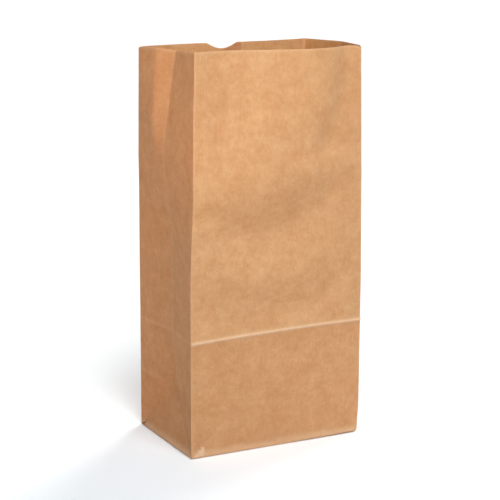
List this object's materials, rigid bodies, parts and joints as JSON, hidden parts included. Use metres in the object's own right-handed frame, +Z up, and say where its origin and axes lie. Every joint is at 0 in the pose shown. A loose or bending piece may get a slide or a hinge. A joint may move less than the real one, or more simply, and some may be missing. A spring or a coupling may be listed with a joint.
{
  "type": "paper lunch bag",
  "caption": "Tall open paper lunch bag with pleated side gussets, a thumb notch in the back rim and a folded flat base that stands by itself.",
  "frame": {"origin": "centre of the base, on its under side", "axes": "+X to the right across the front panel, +Y towards the back panel with the thumb notch, +Z up from the base to the mouth"},
  "size_m": [0.1413, 0.097, 0.2787],
  "materials": {
    "kraft_paper": "matte unbleached kraft paper"
  },
  "bodies": {
    "root": {"paper_bag": "kraft_paper"}
  },
  "joints": []
}
